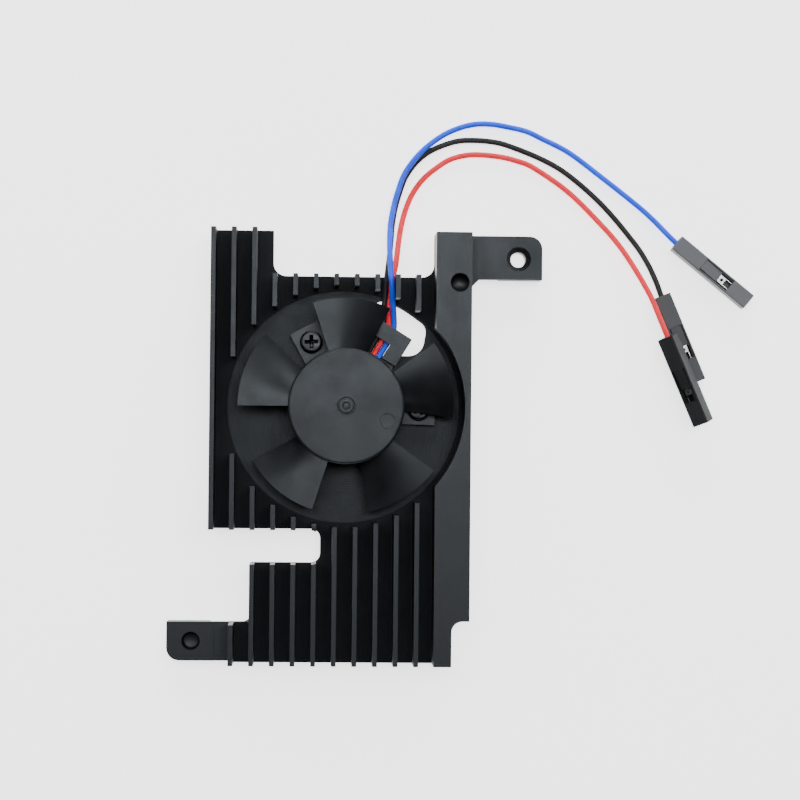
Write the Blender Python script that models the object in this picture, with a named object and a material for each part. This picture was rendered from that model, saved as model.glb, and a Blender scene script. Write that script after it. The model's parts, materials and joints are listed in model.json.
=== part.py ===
"""Low-profile black heatsink with a frameless five-blade fan, for a credit-card sized computer board.

Frame: X across the board, Y along it, Z up towards the fan. The origin is the middle of the heatsink's
footprint, on the plane of its two feet. Dimensions are in millimetres and become metres when a mesh is made.
"""

import math

import bmesh
import bpy
from mathutils import Matrix, Vector

MM = 0.001

# Heights above the feet.
FOOT_BOTTOM = 0.0
PLATE_BOTTOM = 2.2
POCKET_FLOOR = 3.2
PLATE_TOP = 3.6
FIN_TOP = 9.8
ABOVE_ALL = 12.0
BELOW_ALL = -1.0

# Heatsink outline.
HALF_WIDTH = 28.1
HALF_LENGTH = 32.5
BODY_LEFT = -21.75
LOWER_BODY_LEFT = -15.62
BODY_RIGHT = 17.05
BAR_LEFT = 11.75
BAR_END = 32.1
DISPLAY_NOTCH_LEFT = -12.56
DISPLAY_NOTCH_FLOOR = 25.68
CAMERA_SLOT_TOP = -12.4
CAMERA_SLOT_BOTTOM = -17.5
CAMERA_SLOT_END = -5.15
NOTCH_CORNER = 1.95
SLOT_CORNER = 1.4
LOWER_RIGHT_STEP = (14.4, -25.75)
STEP_CORNER = 1.6
LOWER_TAB_ROOT = -26.45
LOWER_TAB_CORNER = 1.05

# Fins: eleven upright walls, all along Y, beside a solid bar.
FIN_COUNT = 11
FIN_PITCH = 3.053
FIN_THICKNESS = 0.7
FIRST_FIN_LEFT = -21.73

# Mounting tabs, on two opposite corners of the board's hole pattern.
BOARD_PITCH_X = 49.0
BOARD_PITCH_Y = 58.0
PATTERN_CENTRE = Vector((0.05, -0.35))
FOOT_LENGTH = 6.5
FOOT_INSET = 0.05
FOOT_TOP = 2.9
TAB_BOTTOM = 2.3
TAB_CORNER = 1.9
UPPER_TAB = (14.0, 25.5, BAR_END)
LOWER_TAB = (18.4, 26.46, 32.3)
WEB_ROOT = 24.0
WEB_RIGHT = 18.55
LOWER_TAB_STEP_LEFT = -21.0
LOWER_TAB_STEP_TOP = 3.42

# Holes: a countersunk one in the upper tab, a blind one in the lower tab and a threaded one in the bar.
MOUNT_BORE = 1.17
COUNTERSINK_RADIUS = 1.85
COUNTERSINK_LOW = 2.3
COUNTERSINK_HIGH = 3.3
BLIND_HOLE_RADIUS = 1.38
BLIND_HOLE_FLOOR = 1.9
BAR_HOLE_CENTRE = (15.25, 24.6)
BAR_HOLE_RADIUS = 1.42
BAR_HOLE_FLOOR = 7.0

# Blocks under the plate that reach the board's chips: (centre, size, height of the lower face).
PEDESTAL_BOTTOM = 1.7
CHIP_CONTACTS = {
    "processor": ((4.0, 2.6), (15.0, 15.0), PLATE_BOTTOM),
    "memory": ((4.0, -10.5), (14.0, 9.5), PEDESTAL_BOTTOM),
    "usb": ((-1.0, -25.0), (8.0, 8.0), PEDESTAL_BOTTOM),
    "power": ((-11.5, 20.0), (6.0, 6.0), PEDESTAL_BOTTOM),
}
PAD_GAP = 0.3
PAD_THICKNESS = 1.0
PAD_INSET = 0.3

# Fan.
FAN_CENTRE = Vector((-1.5, 6.05))
POCKET_CENTRE = Vector((-1.83, 6.05))
POCKET_RADIUS = 17.5
FIN_CLEARANCE_RADIUS = 18.0
CUT_OUT_OUTER_RADIUS = 17.0
HUB_RADIUS = 8.64
HUB_TOP = 10.0
HUB_BOTTOM = 5.6
HUB_WALL = 0.6
HUB_ROOF = 0.8
BLADE_COUNT = 5
BLADE_RADIUS = 16.1
BLADE_SPAN = 42.0
BLADE_ROOT_SWEEP = 2.0
BLADE_ROOT_DEPTH = 0.3
FIRST_BLADE_EDGE = 36.2
BLADE_LOW = 6.6
BLADE_HIGH = 9.4
BLADE_THICKNESS = 0.6
BLADE_CAMBER = 0.28
LUG_ANGLES = (-1.5, 118.5, 238.5)
LUG_RADIUS = 11.0
LUG_HALF_WIDTH = 2.35
LUG_REACH = 13.5
BASE_RADIUS = 7.8
BASE_BOTTOM = 3.5
BASE_TOP = 4.4
ARM_ANGLE = 58.5
ARM_HALF_WIDTH = 3.1
ARM_NECK_START = 6.5
ARM_NECK_END = 9.6
ARM_NECK_HALF_WIDTH = 2.9
ARM_HEAD_START = 9.04
ARM_REACH = 13.8
ARM_TOP = 5.7
CABLE_SLOT_LEFT = -2.4
CABLE_SLOT_RIGHT = 0.72
CABLE_SLOT_START = 8.2
CABLE_SLOT_END = 11.4
CABLE_CHANNEL_TOP = 5.0
CHANNEL_WIDENING = 0.06
BOSS_RADIUS = 2.5
BOSS_BORE = 1.9
BOSS_TOP = 8.0
BOARD_INNER_RADIUS = 2.85
BOARD_RADIUS = 7.4
BOARD_BOTTOM = 4.7
BOARD_TOP = 5.1
STATOR_BOTTOM = 6.6
STATOR_TOP = 8.2
COIL_INNER = 3.75
COIL_OUTER = 4.8
COIL_HALF_WIDTH = 1.5
COIL_BOTTOM = 5.8
COIL_TOP = 9.0
COIL_WINDOW_HALF_WIDTH = 0.9
COIL_WINDOW_BOTTOM = 6.3
COIL_WINDOW_TOP = 8.5
SLEEVE_BOTTOM = 4.6
SLEEVE_TOP = 7.9
YOKE_RADIUS = 7.75
YOKE_WALL = 0.4
YOKE_BOTTOM = 6.1
YOKE_TOP = 9.0
MAGNET_RADIUS = 7.2
MAGNET_WALL = 0.7
MAGNET_BOTTOM = 6.3
MAGNET_TOP = 8.9
SHAFT_RADIUS = 0.5
SHAFT_BOTTOM = 4.0
SHAFT_TOP = 9.5
CLIP_RADIUS = 1.3
SCREW_HOLE_RADIUS = 1.1
SCREW_SHANK_RADIUS = 0.8
SCREW_HEAD_RADIUS = 1.7
SCREW_HEAD_LOW = 4.7
SCREW_HEAD_HIGH = 5.55
SCREW_HEAD_RIM = 0.25
SCREW_TIP = 2.4
RECESS_ARM = 1.1
RECESS_HALF_WIDTH = 0.22
RECESS_DEPTH = 0.45

# Wires and their single-pin connectors.
WIRE_RADIUS = 0.42
WIRE_POINT_SPACING = 2.2
CONNECTOR_LENGTH = 14.2
CONNECTOR_SIDE = 2.54
CONNECTOR_CHAMFER = 0.15
CONNECTOR_BORE = 1.7
WINDOW_START = 5.15
WINDOW_END = 10.45
WINDOW_WIDTH = 2.0
TONGUE_HALF_WIDTH = 0.82
TONGUE_END = 8.35
TONGUE_THICKNESS = 0.24
TONGUE_DROP = 0.2
CONTACT_STATIONS = ((2.6, 0.42), (5.6, 0.42), (6.4, 0.6), (13.6, 0.6))

# Each wire leaves the fan in its own lane of the cable arm, then follows its own route to its connector.
WIRE_LANES = {"wire_blue": 0.25, "wire_red": -0.62, "wire_black": -1.49}
LANE_STEPS = ((7.7, 4.9), (9.3, 4.55), (11.2, 4.45), (13.0, 4.45))
WIRE_ROUTES = {
    "wire_blue": (
        (5.68, 18.4, 4.6), (5.6, 19.9, 5.1), (5.45, 21.5, 5.75), (5.3, 23.2, 6.4), (5.15, 25.2, 6.7),
        (5.0, 27.4, 6.2), (4.92, 29.2, 5.4), (4.9, 31.2, 4.3), (5.05, 33.8, 3.0), (5.5, 36.4, 2.0),
        (6.1, 38.7, 1.5), (7.1, 41.5, 1.35), (8.7, 43.9, 1.2), (10.5, 45.8, 0.85), (13.0, 47.7, 0.5),
        (15.6, 48.9, 0.45),
        (18.1, 49.5, 0.45), (20.6, 49.5, 0.45), (23.1, 49.1, 0.45), (25.8, 48.5, 0.45), (28.2, 47.4, 0.45),
        (32.4, 45.3, 0.45), (37.7, 41.4, 0.45), (43.1, 37.2, 0.5), (45.6, 34.9, 0.85), (47.4, 33.0, 1.2),
        (48.87, 31.59, 1.27), (50.26, 30.46, 1.27),
    ),
    "wire_black": (
        (4.02, 19.2, 4.25), (4.12, 20.6, 4.08), (4.25, 22.2, 4.08), (4.35, 24.0, 4.1), (4.65, 26.4, 3.9),
        (4.95, 29.0, 3.2), (5.15, 31.2, 2.2), (5.35, 33.7, 1.3), (5.79, 36.3, 0.7), (6.4, 38.6, 0.47),
        (7.39, 41.3, 0.45), (9.04, 43.6, 0.45), (11.0, 45.2, 0.45), (13.4, 46.3, 0.45), (15.6, 46.9, 0.45),
        (18.1, 47.0, 0.45), (20.7, 46.8, 0.45), (23.2, 46.2, 0.45), (28.3, 44.2, 0.45), (32.4, 41.8, 0.45),
        (37.7, 37.2, 0.45), (42.5, 31.6, 0.5), (44.5, 28.5, 0.85), (45.75, 25.8, 1.2), (46.62, 23.48, 1.27),
        (47.4, 21.64, 1.27),
    ),
    "wire_red": (
        (4.83, 18.7, 4.52), (4.86, 20.0, 4.7), (4.98, 21.5, 4.88), (5.15, 23.0, 4.98), (5.22, 24.4, 5.05),
        (5.5, 26.0, 5.05), (5.82, 27.4, 4.65), (6.03, 28.9, 3.9), (6.32, 31.2, 2.9), (6.78, 33.9, 1.8),
        (7.5, 36.5, 1.0), (8.5, 38.8, 0.55), (10.0, 40.9, 0.45), (11.8, 42.5, 0.45), (14.1, 44.0, 0.45),
        (16.6, 44.7, 0.45), (18.9, 44.8, 0.45), (22.0, 44.5, 0.45), (24.5, 43.9, 0.45), (27.0, 42.9, 0.45),
        (32.4, 39.2, 0.45), (37.7, 34.0, 0.55), (40.34, 30.83, 1.1), (42.27, 27.8, 1.9), (43.6, 25.36, 2.8),
        (44.84, 22.89, 3.5), (45.87, 20.3, 3.92), (46.72, 18.25, 3.95), (47.21, 17.12, 3.92),
        (47.88, 15.56, 3.88),
    ),
}

# Connector name: the middle of its wire end, heading and pitch and roll in degrees.
CONNECTORS = {
    "connector_grey": ((48.87, 31.59, 1.27), -39.0, 0.0, 0.0),
    "connector_black_flat": ((46.62, 23.48, 1.27), -67.1, 0.0, 0.0),
    "connector_black_leaning": ((47.21, 17.12, 3.92), -66.73, 1.39, 32.81),
}

BLACK_ANODISED = ("black_anodised", (0.022, 0.023, 0.026), 0.5, 0.85)
BLACK_PLASTIC = ("black_plastic", (0.02, 0.021, 0.023), 0.55, 0.0)
GREY_PLASTIC = ("grey_plastic", (0.09, 0.09, 0.1), 0.5, 0.0)
BLACK_STEEL = ("black_steel", (0.03, 0.03, 0.032), 0.35, 0.9)
BRIGHT_STEEL = ("bright_steel", (0.7, 0.7, 0.72), 0.25, 1.0)
BRONZE = ("bronze", (0.6, 0.4, 0.18), 0.4, 1.0)
COPPER = ("copper", (0.72, 0.3, 0.12), 0.35, 1.0)
TINNED_METAL = ("tinned_metal", (0.8, 0.8, 0.78), 0.3, 1.0)
GREEN_LAMINATE = ("green_laminate", (0.02, 0.12, 0.05), 0.5, 0.0)
FERRITE = ("ferrite", (0.05, 0.05, 0.055), 0.7, 0.1)
GREY_PAD = ("thermal_pad", (0.35, 0.42, 0.5), 0.85, 0.0)
WHITE_NYLON = ("white_nylon", (0.75, 0.74, 0.7), 0.5, 0.0)
WIRE_COLOURS = {
    "wire_blue": ("blue_insulation", (0.02, 0.09, 0.55), 0.4, 0.0),
    "wire_black": ("black_insulation", (0.015, 0.015, 0.016), 0.4, 0.0),
    "wire_red": ("red_insulation", (0.6, 0.02, 0.03), 0.4, 0.0),
}


def clear_scene():
    for obj in list(bpy.data.objects):
        bpy.data.objects.remove(obj, do_unlink=True)


def material(finish):
    name, colour, roughness, metallic = finish
    found = bpy.data.materials.get(name)
    if found:
        return found
    made = bpy.data.materials.new(name)
    made.use_nodes = True
    shader = made.node_tree.nodes["Principled BSDF"]
    shader.inputs["Base Color"].default_value = (*colour, 1.0)
    shader.inputs["Roughness"].default_value = roughness
    shader.inputs["Metallic"].default_value = metallic
    return made


def place(name, data, finish, parent=None, location=(0, 0, 0), turn=None):
    """Links one object; its location is in millimetres and its turn a rotation matrix."""
    obj = bpy.data.objects.new(name, data)
    bpy.context.scene.collection.objects.link(obj)
    obj.parent = parent
    obj.location = Vector(location) * MM
    if turn is not None:
        obj.rotation_euler = turn.to_euler()
    if finish is not None:
        data.materials.append(material(finish))
    return obj


def mesh_from(name, bm):
    """Turns a mesh drawn in millimetres into a smooth-shaded one in metres with its faces outward."""
    bmesh.ops.scale(bm, vec=(MM, MM, MM), verts=bm.verts)
    bmesh.ops.recalc_face_normals(bm, faces=bm.faces)
    mesh = bpy.data.meshes.new(name)
    bm.to_mesh(mesh)
    bm.free()
    mesh.shade_smooth()
    mesh.set_sharp_from_angle(angle=math.radians(35))
    return mesh


def combine(target, name, bm, operation, location=(0, 0, 0), turn=None):
    """Cuts a hidden helper shape from the target, or joins it to the target."""
    helper = place(f"{name}_helper", mesh_from(name, bm), None, target.parent, location, turn)
    helper.hide_render = True
    helper.display_type = "WIRE"
    modifier = target.modifiers.new(name, "BOOLEAN")
    modifier.object = helper
    modifier.operation = operation
    modifier.solver = "EXACT"


def add_prism(bm, outline, low, high):
    floor = bm.faces.new([bm.verts.new((x, y, low)) for x, y in outline])
    made = bmesh.ops.extrude_face_region(bm, geom=[floor])
    top = [item for item in made["geom"] if isinstance(item, bmesh.types.BMVert)]
    bmesh.ops.translate(bm, vec=(0, 0, high - low), verts=top)
    return bm


def prism(outline, low, high):
    return add_prism(bmesh.new(), outline, low, high)


def rectangle(x_low, y_low, x_high, y_high):
    return ((x_low, y_low), (x_high, y_low), (x_high, y_high), (x_low, y_high))


def add_box(bm, low, high):
    return add_prism(bm, rectangle(low[0], low[1], high[0], high[1]), low[2], high[2])


def box(low, high):
    return add_box(bmesh.new(), low, high)


def add_turned(bm, profile, steps, centre=(0, 0)):
    """A closed loop of (radius, height) points turned about a vertical axis; those on it are poles."""
    rings = []
    for radius, height in profile:
        if radius == 0:
            rings.append([bm.verts.new((centre[0], centre[1], height))] * steps)
            continue
        angles = [2 * math.pi * step / steps for step in range(steps)]
        ring = [(centre[0] + radius * math.cos(a), centre[1] + radius * math.sin(a), height) for a in angles]
        rings.append([bm.verts.new(point) for point in ring])
    for first, second in zip(rings, rings[1:] + rings[:1]):
        for step in range(steps):
            after = (step + 1) % steps
            corners = (first[step], first[after], second[after], second[step])
            face = list(dict.fromkeys(corners))
            if len(face) > 2:
                bm.faces.new(face)
    return bm


def turned(profile, steps=48, centre=(0, 0)):
    return add_turned(bmesh.new(), profile, steps, centre)


def cylinder_profile(radius, low, high):
    return ((0, low), (radius, low), (radius, high), (0, high))


def tube_profile(inner, outer, low, high):
    return ((inner, low), (outer, low), (outer, high), (inner, high))


def polar(radius, degrees):
    angle = math.radians(degrees)
    return Vector((radius * math.cos(angle), radius * math.sin(angle)))


def on_arm(degrees, along, across):
    """A point at a distance along a direction from the centre and to the right of it."""
    return polar(along, degrees) + polar(across, degrees - 90)


def rounded_outline(corners, arc_steps=6):
    """The closed outline through (x, y, fillet radius) corners, with each fillet an arc."""
    points = []
    for index, (x, y, radius) in enumerate(corners):
        here = Vector((x, y))
        if radius == 0:
            points.append(here)
            continue
        back = (Vector(corners[index - 1][:2]) - here).normalized()
        ahead = (Vector(corners[(index + 1) % len(corners)][:2]) - here).normalized()
        half_angle = back.angle(ahead) / 2
        centre = here + (back + ahead).normalized() * radius / math.sin(half_angle)
        start = here + back * radius / math.tan(half_angle) - centre
        end = here + ahead * radius / math.tan(half_angle) - centre
        start_angle = math.atan2(start.y, start.x)
        turn = math.remainder(math.atan2(end.y, end.x) - start_angle, 2 * math.pi)
        for step in range(arc_steps + 1):
            angle = start_angle + turn * step / arc_steps
            points.append(centre + Vector((math.cos(angle), math.sin(angle))) * radius)
    return points


def fin_left(index):
    return FIRST_FIN_LEFT + FIN_PITCH * index


def body_outline():
    fin_one_left = fin_left(1)
    step_x, step_y = LOWER_RIGHT_STEP
    return rounded_outline((
        (fin_one_left, -HALF_LENGTH, 0),
        (step_x, -HALF_LENGTH, 0),
        (step_x, step_y, STEP_CORNER),
        (BODY_RIGHT, step_y, 0),
        (BODY_RIGHT, BAR_END, 0),
        (BAR_LEFT, BAR_END, 0),
        (BAR_LEFT, DISPLAY_NOTCH_FLOOR, NOTCH_CORNER),
        (DISPLAY_NOTCH_LEFT, DISPLAY_NOTCH_FLOOR, NOTCH_CORNER),
        (DISPLAY_NOTCH_LEFT, HALF_LENGTH, 0),
        (BODY_LEFT, HALF_LENGTH, 0),
        (BODY_LEFT, CAMERA_SLOT_TOP, 0),
        (CAMERA_SLOT_END, CAMERA_SLOT_TOP, SLOT_CORNER),
        (CAMERA_SLOT_END, CAMERA_SLOT_BOTTOM, SLOT_CORNER),
        (LOWER_BODY_LEFT, CAMERA_SLOT_BOTTOM, 0),
        (LOWER_BODY_LEFT, LOWER_TAB_ROOT, LOWER_TAB_CORNER),
        (fin_one_left, LOWER_TAB_ROOT, 0),
    ))


def fin_gaps():
    """The channels between fins, each cut past both ends of the body."""
    bm = bmesh.new()
    past_end = HALF_LENGTH + 1.0
    in_slot = (CAMERA_SLOT_TOP + CAMERA_SLOT_BOTTOM) / 2
    for index in range(FIN_COUNT):
        left = fin_left(index) + FIN_THICKNESS
        right = BAR_LEFT if index == FIN_COUNT - 1 else fin_left(index + 1)
        low = in_slot if index < 2 else -past_end
        add_box(bm, (left, low, PLATE_TOP), (right, past_end, ABOVE_ALL))
    lower_left_gap = fin_left(1) + FIN_THICKNESS
    past_tab_root = LOWER_TAB_ROOT + 0.45
    add_box(bm, (lower_left_gap, -past_end, PLATE_TOP), (fin_left(2), past_tab_root, ABOVE_ALL))
    return bm


def fan_clearance():
    """Room for the fan above the plate: the fins end square and the solid bar is hollowed to one circle."""
    bm = bmesh.new()
    past_fin = 0.1
    for index in range(1, FIN_COUNT):
        left, right = fin_left(index), fin_left(index) + FIN_THICKNESS
        off_axis = (left + right) / 2 - POCKET_CENTRE.x
        half_chord = math.sqrt(FIN_CLEARANCE_RADIUS ** 2 - off_axis ** 2)
        low, high = POCKET_CENTRE.y - half_chord, POCKET_CENTRE.y + half_chord
        add_box(bm, (left - past_fin, low, PLATE_TOP), (right + past_fin, high, ABOVE_ALL))
    chord_x = BAR_LEFT - past_fin - POCKET_CENTRE.x
    half_angle = math.degrees(math.acos(chord_x / FIN_CLEARANCE_RADIUS))
    arc_steps = 24
    arc = [POCKET_CENTRE + polar(FIN_CLEARANCE_RADIUS, half_angle * (2 * step / arc_steps - 1))
           for step in range(arc_steps + 1)]
    return add_prism(bm, arc, PLATE_TOP, ABOVE_ALL)


def tab_outline(mirror):
    """The tab over the board's upper right hole, or turned half round for the lower left one."""
    inner, root, end = UPPER_TAB if mirror > 0 else LOWER_TAB
    corners = [(inner, root, 0), (HALF_WIDTH, root, 0), (HALF_WIDTH, end, TAB_CORNER), (inner, end, 0)]
    if mirror > 0:
        corners[:1] = [(inner, WEB_ROOT, 0), (BODY_RIGHT, WEB_ROOT, 0), (WEB_RIGHT, root, 0)]
    return [point * mirror for point in rounded_outline(corners)]


def foot_outline(mirror):
    """The thick block under a tab's end, down to the board."""
    _, tab_root, tab_end = UPPER_TAB if mirror > 0 else LOWER_TAB
    root, end = tab_root + FOOT_INSET, tab_end - FOOT_INSET
    left, right = HALF_WIDTH - FOOT_LENGTH, HALF_WIDTH - FOOT_INSET
    corners = ((left, root, 0), (right, root, 0), (right, end, TAB_CORNER - FOOT_INSET), (left, end, 0))
    return [point * mirror for point in rounded_outline(corners)]


def cut_out_outline():
    """The opening in the pocket floor that lets the wires out; its outer side follows the pocket wall."""
    left, bottom = 2.3, 13.8
    arc = [FAN_CENTRE + polar(CUT_OUT_OUTER_RADIUS, degrees) for degrees in range(54, 67, 4)]
    corners = [(9.95, bottom, 2.4), (10.7, 18.2, 1.7)]
    corners += [(*point, 0) for point in arc]
    corners += [(left, 22.75, 1.6), (left, bottom, 0)]
    return rounded_outline(corners)


def build_heatsink():
    solid = prism(body_outline(), PLATE_BOTTOM, FIN_TOP)
    body = place("heatsink", mesh_from("heatsink", solid), BLACK_ANODISED)
    combine(body, "fin_gaps", fin_gaps(), "DIFFERENCE")
    past_corner = (DISPLAY_NOTCH_LEFT + 1.5, HALF_LENGTH + 1.5, ABOVE_ALL)
    open_corner = box((fin_left(2) + FIN_THICKNESS, DISPLAY_NOTCH_FLOOR, PLATE_TOP), past_corner)
    combine(body, "open_corner", open_corner, "DIFFERENCE")
    for side, mirror in (("upper", 1), ("lower", -1)):
        combine(body, f"{side}_tab", prism(tab_outline(mirror), TAB_BOTTOM, PLATE_TOP), "UNION")
        combine(body, f"{side}_foot", prism(foot_outline(mirror), FOOT_BOTTOM, FOOT_TOP), "UNION")
    past_end = -HALF_LENGTH - 1
    step_end = (fin_left(1), LOWER_TAB_ROOT + 1, ABOVE_ALL)
    step = box((LOWER_TAB_STEP_LEFT, past_end, LOWER_TAB_STEP_TOP), step_end)
    combine(body, "lower_tab_step", step, "DIFFERENCE")
    into_plate = 0.4
    for name, (centre, size, low) in CHIP_CONTACTS.items():
        if low < PLATE_BOTTOM:
            half = Vector(size) / 2
            corner = Vector(centre)
            block = box((*(corner - half), low), (*(corner + half), PLATE_BOTTOM + into_plate))
            combine(body, f"{name}_pedestal", block, "UNION")
    pocket = turned(cylinder_profile(POCKET_RADIUS, POCKET_FLOOR, ABOVE_ALL), 96, POCKET_CENTRE)
    combine(body, "fan_pocket", pocket, "DIFFERENCE")
    combine(body, "fan_clearance", fan_clearance(), "DIFFERENCE")
    combine(body, "wire_cut_out", prism(cut_out_outline(), BELOW_ALL, PLATE_TOP + 0.3), "DIFFERENCE")
    combine(body, "holes", heatsink_holes(), "DIFFERENCE")
    return body


def heatsink_holes():
    bm = bmesh.new()
    half_pattern = Vector((BOARD_PITCH_X, BOARD_PITCH_Y)) / 2
    above_tab = PLATE_TOP + 0.5
    countersunk = ((0, BELOW_ALL), (MOUNT_BORE, BELOW_ALL), (MOUNT_BORE, COUNTERSINK_LOW),
                   (COUNTERSINK_RADIUS, COUNTERSINK_HIGH), (COUNTERSINK_RADIUS, above_tab), (0, above_tab))
    add_turned(bm, countersunk, 32, PATTERN_CENTRE + half_pattern)
    bowl = BLIND_HOLE_RADIUS - 0.3
    blind = ((0, BLIND_HOLE_FLOOR), (bowl, BLIND_HOLE_FLOOR + 0.2),
             (BLIND_HOLE_RADIUS, BLIND_HOLE_FLOOR + 0.6), (BLIND_HOLE_RADIUS, above_tab), (0, above_tab))
    add_turned(bm, blind, 32, PATTERN_CENTRE - half_pattern)
    drilled = ((0, BAR_HOLE_FLOOR), (BAR_HOLE_RADIUS, BAR_HOLE_FLOOR + 0.6),
               (BAR_HOLE_RADIUS, ABOVE_ALL), (0, ABOVE_ALL))
    add_turned(bm, drilled, 32, BAR_HOLE_CENTRE)
    for degrees in LUG_ANGLES:
        centre = FAN_CENTRE + polar(LUG_RADIUS, degrees)
        add_turned(bm, cylinder_profile(SCREW_HOLE_RADIUS, BELOW_ALL, PLATE_TOP), 24, centre)
    return bm


def build_thermal_pads():
    for name, (centre, size, contact) in CHIP_CONTACTS.items():
        top = contact - PAD_GAP
        half = Vector(size) / 2 - Vector((PAD_INSET, PAD_INSET))
        bm = box((*-half, top - PAD_THICKNESS), (*half, top))
        place(f"thermal_pad_{name}", mesh_from(name, bm), GREY_PAD, location=(*centre, 0))


def base_outline():
    """The round motor base with its three screw lugs."""
    points = []
    root_angle = math.degrees(math.asin(LUG_HALF_WIDTH / BASE_RADIUS))
    between = 120 - 2 * root_angle
    arc_steps = 14
    for degrees in LUG_ANGLES:
        points.append(on_arm(degrees, LUG_REACH, LUG_HALF_WIDTH))
        points.append(on_arm(degrees, LUG_REACH, -LUG_HALF_WIDTH))
        for step in range(arc_steps + 1):
            points.append(polar(BASE_RADIUS, degrees + root_angle + between * step / arc_steps))
    return points


def arm_block(near, far, half_width, low, high):
    """A block lying along the cable arm's direction."""
    outline = [on_arm(ARM_ANGLE, along, across) for along, across in
               ((near, half_width), (far, half_width), (far, -half_width), (near, -half_width))]
    return prism(outline, low, high)


def cable_slot(near, far, low, high, widen=0.0):
    right, left = CABLE_SLOT_RIGHT + widen, CABLE_SLOT_LEFT - widen
    outline = [on_arm(ARM_ANGLE, along, across) for along, across in
               ((near, right), (far, right), (far, left), (near, left))]
    return prism(outline, low, high)


def build_fan_base(axis):
    disc = prism(base_outline(), BASE_BOTTOM, BASE_TOP)
    base = place("fan_base", mesh_from("fan_base", disc), BLACK_PLASTIC, axis)
    neck = arm_block(ARM_NECK_START, ARM_NECK_END, ARM_NECK_HALF_WIDTH, BASE_BOTTOM + 0.1, BASE_TOP - 0.1)
    combine(base, "arm_neck", neck, "UNION")
    head = arm_block(ARM_HEAD_START, ARM_REACH, ARM_HALF_WIDTH, BASE_BOTTOM + 0.2, ARM_TOP)
    combine(base, "arm_head", head, "UNION")
    slot = cable_slot(CABLE_SLOT_START, CABLE_SLOT_END, BELOW_ALL, ABOVE_ALL)
    combine(base, "cable_slot", slot, "DIFFERENCE")
    channel = cable_slot(CABLE_SLOT_END - 1, ARM_REACH + 1, BELOW_ALL, CABLE_CHANNEL_TOP, CHANNEL_WIDENING)
    combine(base, "cable_channel", channel, "DIFFERENCE")
    combine(base, "boss", turned(cylinder_profile(BOSS_RADIUS, BASE_BOTTOM + 0.3, BOSS_TOP)), "UNION")
    combine(base, "boss_bore", turned(cylinder_profile(BOSS_BORE, BELOW_ALL, ABOVE_ALL)), "DIFFERENCE")
    lug_holes = bmesh.new()
    lug_hole = cylinder_profile(SCREW_HOLE_RADIUS, BELOW_ALL, ABOVE_ALL)
    for degrees in LUG_ANGLES:
        add_turned(lug_holes, lug_hole, 24, polar(LUG_RADIUS, degrees))
    combine(base, "lug_holes", lug_holes, "DIFFERENCE")


def cross_recess(floor):
    """A cross-shaped driver recess, cut down to a height."""
    arm, half = RECESS_ARM, RECESS_HALF_WIDTH
    outline = ((arm, -half), (arm, half), (half, half), (half, arm), (-half, arm), (-half, half),
               (-arm, half), (-arm, -half), (-half, -half), (-half, -arm), (half, -arm), (half, -half))
    return prism(outline, floor, ABOVE_ALL)


def build_screws(axis):
    profile = (
        (0, SCREW_TIP), (SCREW_SHANK_RADIUS, SCREW_TIP), (SCREW_SHANK_RADIUS, SCREW_HEAD_LOW),
        (SCREW_HEAD_RADIUS, SCREW_HEAD_LOW), (SCREW_HEAD_RADIUS, SCREW_HEAD_HIGH - SCREW_HEAD_RIM),
        (SCREW_HEAD_RADIUS - SCREW_HEAD_RIM, SCREW_HEAD_HIGH), (0, SCREW_HEAD_HIGH),
    )
    for number, degrees in enumerate(LUG_ANGLES, 1):
        location = (*polar(LUG_RADIUS, degrees), 0)
        screw_mesh = mesh_from("fan_screw", turned(profile, 32))
        screw = place(f"fan_screw_{number}", screw_mesh, BLACK_STEEL, axis, location)
        recess = cross_recess(SCREW_HEAD_HIGH - RECESS_DEPTH)
        combine(screw, f"driver_recess_{number}", recess, "DIFFERENCE", location)


def build_circuit_board(axis):
    board = tube_profile(BOARD_INNER_RADIUS, BOARD_RADIUS, BOARD_BOTTOM, BOARD_TOP)
    place("fan_circuit_board", mesh_from("fan_circuit_board", turned(board, 64)), GREEN_LAMINATE, axis)
    clear_of_board = BOARD_TOP + 0.3
    chip = box((-1.3, -0.8, clear_of_board), (1.3, 0.8, clear_of_board + 0.6))
    place("fan_driver_chip", mesh_from("fan_driver_chip", chip), BLACK_PLASTIC, axis, location=(0, -5.9, 0))


def stator_outline():
    """Four T-shaped poles round a hub, as one closed outline."""
    hub_radius, neck_half, shoe_inner, shoe_outer, shoe_half_angle = 3.5, 0.6, 5.1, 6.2, 33
    neck_angle = math.degrees(math.asin(neck_half / hub_radius))
    shoe_neck_angle = math.degrees(math.asin(neck_half / shoe_inner))
    points = []
    for pole in range(4):
        middle = 45 + 90 * pole
        points.append(polar(hub_radius, middle - neck_angle))
        points.append(polar(shoe_inner, middle - shoe_neck_angle))
        points.append(polar(shoe_inner, middle - shoe_half_angle))
        for step in range(-4, 5):
            points.append(polar(shoe_outer, middle + shoe_half_angle * step / 4))
        points.append(polar(shoe_inner, middle + shoe_half_angle))
        points.append(polar(shoe_inner, middle + shoe_neck_angle))
        points.append(polar(hub_radius, middle + neck_angle))
        for step in range(1, 6):
            points.append(polar(hub_radius, middle + neck_angle + (90 - 2 * neck_angle) * step / 6))
    return points


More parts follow.
